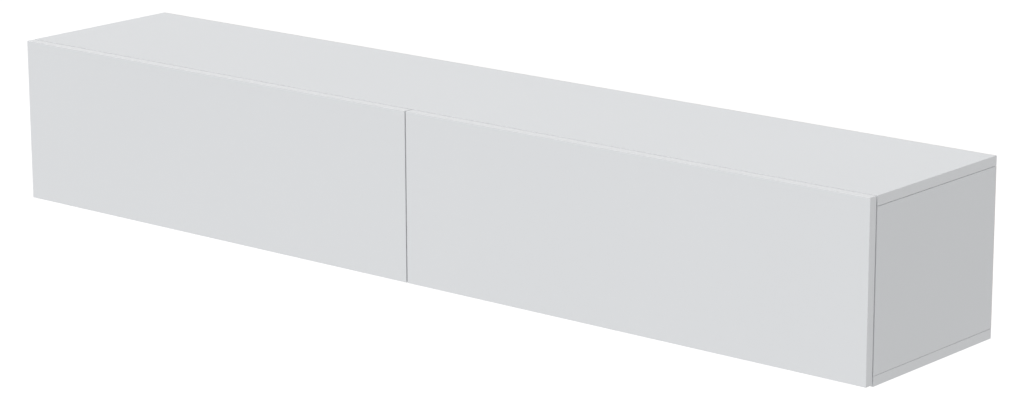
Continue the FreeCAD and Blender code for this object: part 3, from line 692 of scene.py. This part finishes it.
class GeometrySketch(NodeSketch):
    """A geometry node tree under construction, with named inputs for its sizes."""

    def __init__(self, name: str) -> None:
        """Start a tree that takes seed points and gives a mesh.

        Args:
            name: The tree's name.
        """
        super().__init__(bpy.data.node_groups.new(name, "GeometryNodeTree"))
        self.identifiers: dict[str, str] = {}
        self.entry = self.node("NodeGroupInput")
        for way in ("INPUT", "OUTPUT"):
            self.tree.interface.new_socket(
                "Geometry", in_out=way, socket_type="NodeSocketGeometry"
            )
        self.finish_input = self.named_input("Finish", "NodeSocketMaterial")

    def named_input(self, name: str, kind: str = "NodeSocketFloat") -> Socket:
        """Add an input of the tree.

        Args:
            name: The input's name.
            kind: Its socket type.

        Returns:
            The input's socket inside the tree.
        """
        item = self.tree.interface.new_socket(name, in_out="INPUT", socket_type=kind)
        self.identifiers[name] = item.identifier
        return self.entry.outputs[name]

    def vector(self, x: object = 0.0, y: object = 0.0, z: object = 0.0) -> Socket:
        """Combine three numbers into a vector."""
        return self.node("ShaderNodeCombineXYZ", {"X": x, "Y": y, "Z": z}).outputs["Vector"]

    def moved(self, mesh: Socket, **inputs: object) -> Socket:
        """Move, turn or scale geometry."""
        return self.node("GeometryNodeTransform", {"Geometry": mesh, **inputs}).outputs["Geometry"]

    def cube(self, x: object, y: object, z: object) -> Socket:
        """A block about the origin."""
        return self.node("GeometryNodeMeshCube", {"Size": self.vector(x, y, z)}).outputs["Mesh"]

    def cylinder(self, sides: int, radius: object, depth: object) -> Socket:
        """A cylinder along Z about the origin."""
        inputs = {"Vertices": sides, "Radius": radius, "Depth": depth}
        return self.node("GeometryNodeMeshCylinder", inputs).outputs["Mesh"]

    def half_ball(self, segments: int, rings: int) -> Socket:
        """The upper half of a ball of radius 1, closed by a flat fan.

        Args:
            segments: Sides around it.
            rings: Steps from pole to pole of the whole ball.

        Returns:
            The mesh's socket.
        """
        half_step = 0.5 / rings
        weld = 0.02 * half_step
        inputs = {"Segments": segments, "Rings": rings, "Radius": 1.0}
        ball = self.node("GeometryNodeMeshUVSphere", inputs).outputs["Mesh"]
        place = self.node("GeometryNodeInputPosition").outputs["Position"]
        height = self.node("ShaderNodeSeparateXYZ", {"Vector": place}).outputs["Z"]
        below = self.maths("LESS_THAN", height, -half_step)
        inputs = {"Geometry": ball, "Selection": below, "Position": self.vector()}
        gathered = self.node("GeometryNodeSetPosition", inputs).outputs["Geometry"]
        inputs = {"Geometry": gathered, "Distance": weld}
        return self.node("GeometryNodeMergeByDistance", inputs).outputs["Geometry"]

    def carve(self, operation: str, first: Socket | None, others: list[Socket]) -> Socket:
        """Cut, join or intersect meshes.

        Args:
            operation: Blender's name of the operation.
            first: The mesh to cut from, or none.
            others: The other meshes.

        Returns:
            The resulting mesh's socket.
        """
        inputs: dict[str | int, object] = {"Mesh 2": others}
        if first is not None:
            inputs["Mesh 1"] = first
        return self.node("GeometryNodeMeshBoolean", inputs, operation=operation).outputs["Mesh"]

    def copies(self, points: Socket, instance: Socket, **inputs: object) -> Socket:
        """Stand a copy of a mesh on each point."""
        inputs |= {"Points": points, "Instance": instance}
        return self.node("GeometryNodeInstanceOnPoints", inputs).outputs["Instances"]

    def made_real(self, copies: Socket) -> Socket:
        """Turn copies into geometry of their own."""
        return self.node("GeometryNodeRealizeInstances", {"Geometry": copies}).outputs["Geometry"]

    def close(self, instance: Socket) -> None:
        """End the tree with a dressed copy on each seed point, its Z along the point's axis.

        Args:
            instance: The mesh to copy.
        """
        axis = self.node(
            "GeometryNodeInputNamedAttribute", {"Name": "axis"}, data_type="FLOAT_VECTOR"
        )
        turn = self.node(
            "FunctionNodeAlignRotationToVector", {"Vector": axis.outputs["Attribute"]}, axis="Z"
        )
        seeds = self.entry.outputs["Geometry"]
        copies = self.copies(seeds, instance, Rotation=turn.outputs["Rotation"])
        inputs = {"Geometry": self.made_real(copies), "Material": self.finish_input}
        dressed = self.node("GeometryNodeSetMaterial", inputs)
        self.node("NodeGroupOutput", {"Geometry": dressed.outputs["Geometry"]})

    def grow(
        self, name: str, seeds: Sequence[Seed], finish: bpy.types.Material, **sizes: float
    ) -> bpy.types.Object:
        """Run the tree on seed points and make the result a plain object.

        Args:
            name: The new object's name.
            seeds: Place and axis of each copy.
            finish: The material of the result.
            sizes: The tree's named inputs, with underscores for spaces.

        Returns:
            The grown piece.
        """
        mesh = bpy.data.meshes.new(name)
        mesh.from_pydata([tuple(place) for place, _ in seeds], [], [])
        axes = mesh.attributes.new("axis", "FLOAT_VECTOR", "POINT")
        for index, (_, axis) in enumerate(seeds):
            axes.data[index].vector = axis
        piece = new_object(name, mesh)
        grower = piece.modifiers.new("grower", "NODES")
        grower.node_group = self.tree
        grower[self.identifiers["Finish"]] = finish
        for key, value in sizes.items():
            grower[self.identifiers[key.replace("_", " ")]] = value
        settle(piece)
        smooth(piece.data)
        return piece


def screw_tree() -> GeometrySketch:
    """Domed cross-recess screws standing on their seats, with Z out of the head.

    Returns:
        The tree.
    """
    sides, dome_rings = 24, 12
    root_share, recess_span, second_slot = 0.2, 1.15, 1.04
    sketch = GeometrySketch("domed_screws")
    head_radius = sketch.named_input("Head Radius")
    head_height = sketch.named_input("Head Height")
    shank_radius = sketch.named_input("Shank Radius")
    shank_length = sketch.named_input("Shank Length")
    recess_width = sketch.named_input("Recess Width")
    recess_depth = sketch.named_input("Recess Depth")
    dome = sketch.half_ball(sides, dome_rings)
    head = sketch.moved(dome, Scale=sketch.vector(head_radius, head_radius, head_height))
    root = sketch.maths("MULTIPLY", head_height, root_share)
    shank_full = sketch.maths("ADD", shank_length, root)
    middle = sketch.maths("SUBTRACT", root, sketch.maths("MULTIPLY", shank_full, 0.5))
    rod = sketch.cylinder(sides, shank_radius, shank_full)
    half_side = (0.0, 0.0, math.pi / sides)
    shank = sketch.moved(rod, Translation=sketch.vector(z=middle), Rotation=half_side)
    across = sketch.maths("MULTIPLY", head_radius, recess_span)
    deep = sketch.maths("MULTIPLY", recess_depth, 2.0)
    deeper = sketch.maths("MULTIPLY", deep, second_slot)
    at_top = sketch.vector(z=head_height)
    slots = [
        sketch.moved(sketch.cube(x, y, z), Translation=at_top)
        for x, y, z in ((across, recess_width, deep), (recess_width, across, deeper))
    ]
    plain = sketch.carve("UNION", None, [head, shank])
    sketch.close(sketch.carve("DIFFERENCE", plain, slots))
    return sketch


@dataclass(frozen=True)
class PackedScrew:
    """Place and sizes of one packed screw."""

    seat: Vector
    out: Vector
    length: float
    head_radius: float
    head_height: float
    shank_radius: float


@dataclass
class Screws:
    """Cross-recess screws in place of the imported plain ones, and the hinges' adjusting screws."""

    console: Console
    tree: GeometrySketch = field(default_factory=screw_tree)
    recess_share: float = 0.26
    recess_depth: float = 1.3 * MM
    arm_screw_radius: float = 2.6 * MM
    arm_screw_height: float = 1.6 * MM
    arm_screw_stem: float = 2.5 * MM
    arm_stem_share: float = 0.5
    arm_screw_places: tuple[float, float] = (0.45, 0.79)
    cheek_rise: float = 4.0 * MM
    set_screw_dome: float = 0.5 * MM
    set_screw_fit: float = 0.985
    rim_share: float = 0.98
    end_slack: float = 0.1 * MM

    def build(self) -> None:
        """Replace each group of packed screws and add adjusting screws to the hinge arms."""
        for node in self.console.nodes_ending("_screws"):
            self.replace_group(node)
        self.hanger_adjusters("hanger_adjusters")
        self.hinge_adjusters()

    def grow(
        self, name: str, seeds: Sequence[Seed], finish: bpy.types.Material,
        head: tuple[float, float], shank: tuple[float, float],
    ) -> bpy.types.Object:
        """Grow screws of one size.

        Args:
            name: The new object's name.
            seeds: Seat and outward axis of each screw.
            finish: Their material.
            head: Radius and height of the head.
            shank: Radius and length of the shank.

        Returns:
            The grown screws.
        """
        return self.tree.grow(
            name, seeds, finish,
            Head_Radius=head[0], Head_Height=head[1], Shank_Radius=shank[0], Shank_Length=shank[1],
            Recess_Width=self.recess_share * head[0], Recess_Depth=self.recess_depth,
        )

    def replace_group(self, node: str) -> None:
        """Stand detailed screws where a node's packed screws are.

        Args:
            node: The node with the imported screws.
        """
        by_length: dict[float, list[PackedScrew]] = {}
        for solid in self.solids(node):
            screw = self.measure(solid)
            by_length.setdefault(round(screw.length, 4), []).append(screw)
        grown = []
        for length, screws in sorted(by_length.items()):
            first = screws[0]
            seeds = [(screw.seat, screw.out) for screw in screws]
            head = (first.head_radius, first.head_height)
            shank = (first.shank_radius, length)
            finish = self.console.finish_of(node)
            grown.append(self.grow(node + "_grown", seeds, finish, head, shank))
        piece = grown[0]
        if len(grown) > 1:
            with bpy.context.temp_override(active_object=piece, selected_editable_objects=grown):
                bpy.ops.object.join()
        self.console.stand_in(piece, node)

    def hanger_adjusters(self, node: str) -> None:
        """Headless set screws in the front of each hanger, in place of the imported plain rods.

        Args:
            node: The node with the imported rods.
        """
        seeds = []
        radius = length = 0.0
        for solid in self.solids(node):
            low, high = span_of(solid)
            radius = (high.x - low.x) / 2
            length = high.y - low.y - self.set_screw_dome
            seat = (low + high) / 2
            seat.y = low.y + self.set_screw_dome
            seeds.append((seat, Vector((0.0, -1.0, 0.0))))
        piece = self.grow(
            node + "_grown", seeds, self.console.finish_of(node),
            (radius, self.set_screw_dome), (self.set_screw_fit * radius, length),
        )
        self.console.stand_in(piece, node)

    def hinge_adjusters(self) -> None:
        """Two adjusting screws in the trough of each hinge arm."""
        up = Vector((0.0, 0.0, 1.0))
        seeds = []
        for arm in self.console.nodes_ending("_hinge_arm"):
            low, high = box_of(arm)
            for share in self.arm_screw_places:
                y = low.y + share * (high.y - low.y)
                seeds.append((Vector(((low.x + high.x) / 2, y, high.z - self.cheek_rise)), up))
        piece = self.grow(
            "hinge_adjusting_screws", seeds, self.console.palette[Slot.ZINC],
            (self.arm_screw_radius, self.arm_screw_height),
            (self.arm_stem_share * self.arm_screw_radius, self.arm_screw_stem),
        )
        self.console.mount(piece, "carcass", Slot.ZINC)

    def solids(self, node: str) -> list[list[Vector]]:
        """Tell a node's separate solids apart.

        Args:
            node: The node.

        Returns:
            The corner points of each solid.
        """
        work = merged_copy(self.console.nodes[node])
        work.verts.index_update()
        seen: set[int] = set()
        found = []
        for start in work.verts:
            if start.index in seen:
                continue
            seen.add(start.index)
            group, edge = [], [start]
            while edge:
                vertex = edge.pop()
                group.append(vertex.co.copy())
                for joined in vertex.link_edges:
                    other = joined.other_vert(vertex)
                    if other.index not in seen:
                        seen.add(other.index)
                        edge.append(other)
            found.append(group)
        work.free()
        return found

    def measure(self, corners: list[Vector]) -> PackedScrew:
        """Read a packed screw's place and sizes from its corner points.

        Args:
            corners: The screw's corner points.

        Returns:
            What they say.
        """
        low, high = span_of(corners)
        along = max(range(3), key=lambda i: high[i] - low[i])
        centre = (low + high) / 2
        reach = [(c[along], self.off_axis(c, centre, along)) for c in corners]
        head_radius = max(radius for _, radius in reach)
        rim = [place for place, radius in reach if radius > self.rim_share * head_radius]
        sign = 1.0 if sum(rim) / len(rim) > centre[along] else -1.0
        top, end = (high, low) if sign > 0 else (low, high)
        seat, out = centre.copy(), Vector((0.0, 0.0, 0.0))
        seat[along] = min(rim) if sign > 0 else max(rim)
        out[along] = sign
        shank_radius = max(
            radius for place, radius in reach if abs(place - end[along]) < self.end_slack
        )
        length = abs(seat[along] - end[along])
        return PackedScrew(
            seat, out, length, head_radius, abs(top[along] - seat[along]), shank_radius
        )

    @staticmethod
    def off_axis(corner: Vector, centre: Vector, along: int) -> float:
        """A point's distance from the axis through a centre."""
        return math.hypot(*(corner[i] - centre[i] for i in range(3) if i != along))


def cap_tree() -> GeometrySketch:
    """Slotted, knurled caps standing on their seats.

    Returns:
        The tree.
    """
    rim_sides, groove_count, groove_sides = 48, 24, 6
    slot_span, groove_span = 1.5, 3.0
    sketch = GeometrySketch("knurled_caps")
    radius = sketch.named_input("Radius")
    height = sketch.named_input("Height")
    slot_width = sketch.named_input("Slot Width")
    knurl = sketch.named_input("Knurl")
    half_up = sketch.vector(z=sketch.maths("MULTIPLY", height, 0.5))
    body = sketch.moved(sketch.cylinder(rim_sides, radius, height), Translation=half_up)
    across = sketch.maths("MULTIPLY", radius, slot_span)
    at_top = sketch.vector(z=height)
    slot = sketch.moved(sketch.cube(across, slot_width, height), Translation=at_top)
    ring = sketch.node("GeometryNodeMeshCircle", {"Vertices": groove_count, "Radius": radius})
    long = sketch.maths("MULTIPLY", height, groove_span)
    groove = sketch.cylinder(groove_sides, knurl, long)
    grooves = sketch.made_real(sketch.copies(ring.outputs["Mesh"], groove))
    sketch.close(sketch.carve("DIFFERENCE", body, [slot, grooves]))
    return sketch


def rib_tree() -> GeometrySketch:
    """Half-round grip ribs, lying half sunk on their seats.

    Returns:
        The tree.
    """
    bar_sides = 20
    sketch = GeometrySketch("grip_ribs")
    length = sketch.named_input("Length")
    width = sketch.named_input("Width")
    height = sketch.named_input("Height")
    half_width = sketch.maths("MULTIPLY", width, 0.5)
    bar = sketch.cylinder(bar_sides, half_width, length)
    lying = sketch.moved(bar, Rotation=(0.0, math.pi / 2, 0.0))
    flatter = sketch.vector(1.0, 1.0, sketch.maths("DIVIDE", height, half_width))
    sketch.close(sketch.moved(lying, Scale=flatter))
    return sketch


@dataclass
class Stays:
    """Tension caps on the friction stays' swivel blocks."""

    console: Console
    cap_radius: float = 7.5 * MM
    cap_height: float = 2.4 * MM
    cap_slot: float = 1.6 * MM
    cap_knurl: float = 0.35 * MM

    def build(self) -> None:
        """Stand a cap on the inner face of each swivel block."""
        tree = cap_tree()
        for node in self.console.nodes_ending("_stay_swivel"):
            low, high = box_of(node)
            seat = (low + high) / 2
            door_low, door_high = box_of(node.split("_")[0] + "_door_panel")
            sign = math.copysign(1.0, (door_low.x + door_high.x) / 2 - seat.x)
            seat.x = high.x if sign > 0 else low.x
            piece = tree.grow(
                node + "_cap", [(seat, Vector((sign, 0.0, 0.0)))],
                self.console.palette[Slot.DARK_PLASTIC],
                Radius=self.cap_radius, Height=self.cap_height, Slot_Width=self.cap_slot,
                Knurl=self.cap_knurl,
            )
            self.console.mount(piece, self.console.body_of[node], Slot.DARK_PLASTIC)


@dataclass
class Latches:
    """Push latches: ribbed housings and turned plungers with soft tips."""

    console: Console
    rib_count: int = 6
    rib_pitch: float = 4.0 * MM
    rib_width: float = 1.4 * MM
    rib_height: float = 0.5 * MM
    ribs_from_mouth: float = 34.0 * MM
    body_width: float = 18.0 * MM
    rib_share: float = 0.6
    tip_dome: float = 1.4 * MM
    tip_steps: int = 6
    groove_depth: float = 0.45 * MM
    groove_from_tip: float = 2.2 * MM
    groove_width: float = 0.7 * MM
    lathe_steps: int = 40
    lathe_weld: float = 0.001 * MM

    def build(self) -> None:
        """Make the ribs and the plungers of both latches."""
        tree = rib_tree()
        for side in ("left", "right"):
            self.ribs(tree, side + "_latch_housing")
            self.plunger(side + "_latch_plunger")

    def ribs(self, tree: GeometrySketch, node: str) -> None:
        """Grip ribs on both flanks of a housing.

        Args:
            tree: The ribs' node tree.
            node: The housing's node.
        """
        low, high = box_of(node)
        centre = (low + high) / 2
        seeds = []
        for sign in (-1.0, 1.0):
            x = centre.x + sign * self.body_width / 2
            for step in range(self.rib_count):
                y = low.y + self.ribs_from_mouth + step * self.rib_pitch
                seeds.append((Vector((x, y, centre.z)), Vector((sign, 0.0, 0.0))))
        piece = tree.grow(
            node + "_ribs", seeds, self.console.palette[Slot.GREY_PLASTIC],
            Length=self.rib_share * (high.z - low.z), Width=self.rib_width, Height=self.rib_height,
        )
        self.console.mount(piece, self.console.body_of[node], self.console.slot_of[node])

    def plunger(self, node: str) -> None:
        """Turn a plunger with a domed tip and a groove behind it.

        Args:
            node: The plunger's node.
        """
        low, high = box_of(node)
        radius = (high.x - low.x) / 2
        work = bmesh.new()
        axis = Vector(((low.x + high.x) / 2, low.y, (low.z + high.z) / 2))
        verts = [
            work.verts.new(axis + Vector((reach, along, 0.0)))
            for along, reach in self.outline(radius, high.y - low.y)
        ]
        edges = [work.edges.new(pair) for pair in zip(verts, verts[1:])]
        bmesh.ops.spin(
            work, geom=verts + edges, cent=axis, axis=(0.0, 1.0, 0.0), angle=math.tau,
            steps=self.lathe_steps, use_merge=True,
        )
        bmesh.ops.remove_doubles(work, verts=work.verts, dist=self.lathe_weld)
        bmesh.ops.recalc_face_normals(work, faces=work.faces)
        mesh = bpy.data.meshes.new(node + "_turned")
        work.to_mesh(mesh)
        work.free()
        mesh.materials.append(self.console.palette[Slot.DARK_PLASTIC])
        smooth(mesh)
        self.console.stand_in(new_object(node + "_turned", mesh), node)

    def outline(self, radius: float, length: float) -> list[tuple[float, float]]:
        """The plunger's half outline.

        Args:
            radius: The plunger's radius.
            length: Its length.

        Returns:
            Distance from the tip and distance from the axis, point by point.
        """
        quarter = [0.5 * math.pi * step / self.tip_steps for step in range(self.tip_steps + 1)]
        dome = [(self.tip_dome * (1 - math.cos(a)), radius * math.sin(a)) for a in quarter]
        start, end = self.groove_from_tip, self.groove_from_tip + self.groove_width
        bottom = start + 0.5 * self.groove_width
        groove = [(start, radius), (bottom, radius - self.groove_depth), (end, radius)]
        return [*dome, *groove, (length, radius), (length, 0.0)]


@dataclass(frozen=True)
class ViewPoint:
    """Where the camera stands, in the console's frame."""

    place: Triple = (3.5183, -4.2645, 1.2541)
    azimuth: float = 40.0077
    elevation: float = 14.2333
    roll: float = -0.1815
    lens: float = 117.894
    sensor: float = 36.0
    reach: float = 100.0

    def matrix(self) -> Matrix:
        """The camera's place and turn.

        Returns:
            The camera's world matrix.
        """
        a, e, r = (math.radians(v) for v in (self.azimuth, self.elevation, self.roll))
        back = Vector((math.sin(a) * math.cos(e), -math.cos(a) * math.cos(e), math.sin(e)))
        level = Vector((0.0, 0.0, 1.0)).cross(back).normalized()
        upright = back.cross(level)
        right = math.cos(r) * level + math.sin(r) * upright
        up = math.cos(r) * upright - math.sin(r) * level
        turn = Matrix((right, up, back)).transposed().to_4x4()
        turn.translation = Vector(self.place)
        return turn


@dataclass
class Studio:
    """White floor, even sky light, one broad soft lamp and the camera."""

    view: ViewPoint = field(default_factory=ViewPoint)
    sky_strength: float = 0.521
    lamp_strength: float = 1.36
    lamp_spread_degrees: float = 50.0
    lamp_from: Triple = (-0.22, -0.575, 0.765)
    floor_drop: float = 0.75
    floor_size: float = 30.0
    floor_colour: Colour = (0.82, 0.82, 0.82)
    floor_roughness: float = 0.9
    floor_lift: float = 0.35

    def build(self, low: Vector) -> None:
        """Set up everything around the console.

        Args:
            low: The lowest corner of the console's box.
        """
        scene = bpy.context.scene
        scene.view_settings.view_transform = "Standard"
        self.sky(scene)
        self.lamp(scene)
        self.floor(low.z - self.floor_drop)
        self.camera(scene)

    @staticmethod
    def seen_directly(sketch: NodeSketch) -> Socket:
        """A mask for rays from the camera, reflections and glass.

        Args:
            sketch: The node tree that gets the mask.

        Returns:
            The mask's socket.
        """
        rays = sketch.node("ShaderNodeLightPath").outputs
        mirrored = sketch.maths("MAXIMUM", rays["Is Camera Ray"], rays["Is Glossy Ray"])
        return sketch.maths("MAXIMUM", mirrored, rays["Is Transmission Ray"])

    def sky(self, scene: bpy.types.Scene) -> None:
        """White sky that lights the console evenly and shows as white.

        Args:
            scene: The scene that gets the sky.
        """
        world = bpy.data.worlds.new("studio_sky")
        world.use_nodes = True
        sketch = NodeSketch(world.node_tree)
        light = sketch.tree.nodes["Background"]
        sketch.put(light.inputs["Color"], WHITE)
        sketch.put(light.inputs["Strength"], self.sky_strength)
        white = sketch.node("ShaderNodeBackground", {"Color": WHITE})
        inputs = {
            "Fac": self.seen_directly(sketch),
            1: light.outputs["Background"], 2: white.outputs["Background"],
        }
        mix = sketch.node("ShaderNodeMixShader", inputs)
        sketch.put(sketch.tree.nodes["World Output"].inputs["Surface"], mix.outputs["Shader"])
        scene.world = world

    def lamp(self, scene: bpy.types.Scene) -> None:
        """One broad lamp from the front left, above.

        Args:
            scene: The scene that gets the lamp.
        """
        data = bpy.data.lights.new("soft_lamp", "SUN")
        data.energy = self.lamp_strength
        data.angle = math.radians(self.lamp_spread_degrees)
        lamp = bpy.data.objects.new("soft_lamp", data)
        lamp.rotation_euler = Vector(self.lamp_from).to_track_quat("Z", "Y").to_euler()
        scene.collection.objects.link(lamp)

    def floor(self, height: float) -> None:
        """Pale floor that shows white where no shadow falls.

        Args:
            height: The floor's level.
        """
        half = self.floor_size / 2
        corners = [(-half, -half), (half, -half), (half, half), (-half, half)]
        mesh = bpy.data.meshes.new("studio_floor")
        mesh.from_pydata([(x, y, height) for x, y in corners], [], [(0, 1, 2, 3)])
        sketch = ShaderSketch("studio_floor_paint")
        lift = sketch.maths("MULTIPLY", self.seen_directly(sketch), self.floor_lift)
        sketch.put(sketch.surface.inputs["Emission Color"], WHITE)
        sketch.put(sketch.surface.inputs["Emission Strength"], lift)
        mesh.materials.append(sketch.finish(self.floor_colour, self.floor_roughness))
        new_object("studio_floor", mesh)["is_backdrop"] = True

    def camera(self, scene: bpy.types.Scene) -> None:
        """Camera at the photograph's viewing angle.

        Args:
            scene: The scene that gets the camera.
        """
        data = bpy.data.cameras.new("camera")
        data.lens = self.view.lens
        data.sensor_width = self.view.sensor
        data.clip_end = self.view.reach
        camera = bpy.data.objects.new("camera", data)
        camera.matrix_world = self.view.matrix()
        scene.collection.objects.link(camera)
        scene.camera = camera


def corners_of(box: Iterable[Iterable[float]]) -> list[list[float]]:
    """A box as plain lists of numbers."""
    return [[float(v) for v in corner] for corner in box]


def main() -> None:
    """Load the frame, dress it, add the made pieces and set up the studio."""
    logging.basicConfig(level=logging.INFO, format="%(name)s: %(message)s")
    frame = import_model()
    solid_box = corners_of(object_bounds())
    console = Console(frame, Palette())
    console.dress()
    Fittings(console).build()
    Screws(console).build()
    Stays(console).build()
    Latches(console).build()
    Studio().build(Vector(solid_box[0]))


if __name__ == "__main__":
    main()
